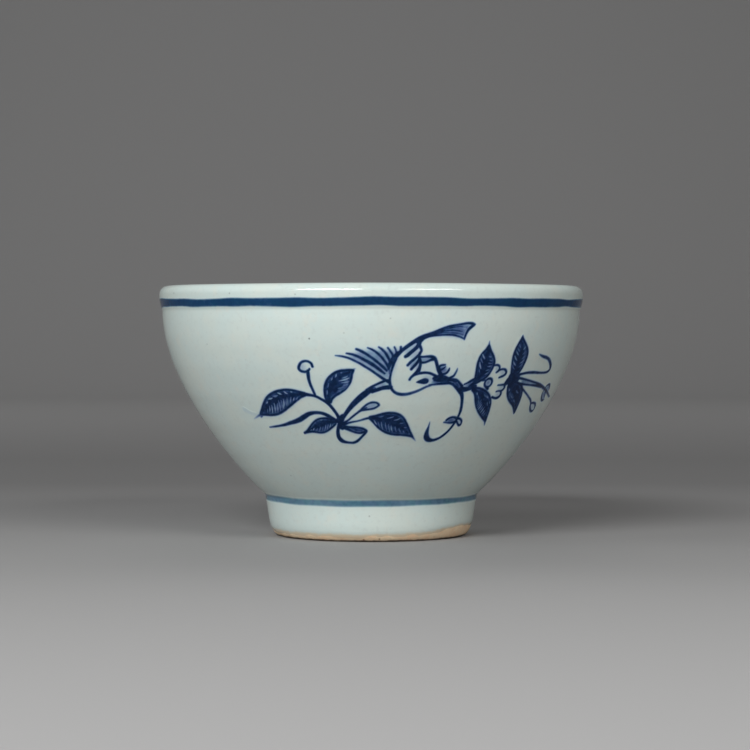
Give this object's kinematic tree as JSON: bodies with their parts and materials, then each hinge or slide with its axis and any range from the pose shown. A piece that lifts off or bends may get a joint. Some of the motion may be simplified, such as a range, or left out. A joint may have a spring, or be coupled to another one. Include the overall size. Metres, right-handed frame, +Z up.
{
  "type": "teacup",
  "caption": "Handleless footed porcelain teacup: flaring bowl with a rounded lip, a ring foot, a pale glaze and painted cobalt lines.",
  "frame": {"origin": "on the axis of the cup, in the plane of the foot rim that it stands on", "axes": "+Z up the axis, towards the mouth; -Y towards the painted front"},
  "size_m": [0.0852, 0.0852, 0.0501],
  "materials": {
    "bare_clay": "unglazed biscuit, fine grained, fired to a warm buff",
    "pale_glaze": "glossy, pale blue-green white with fine specks",
    "dark_cobalt": "glossy, deep cobalt blue under the glaze",
    "thin_cobalt": "glossy, watered grey-blue cobalt under the glaze"
  },
  "bodies": {
    "root": {"clay_body": "bare_clay", "outer_glaze": "pale_glaze", "inner_glaze": "pale_glaze", "recess_glaze": "pale_glaze", "rim_line": "dark_cobalt", "foot_line": "thin_cobalt"}
  },
  "joints": []
}
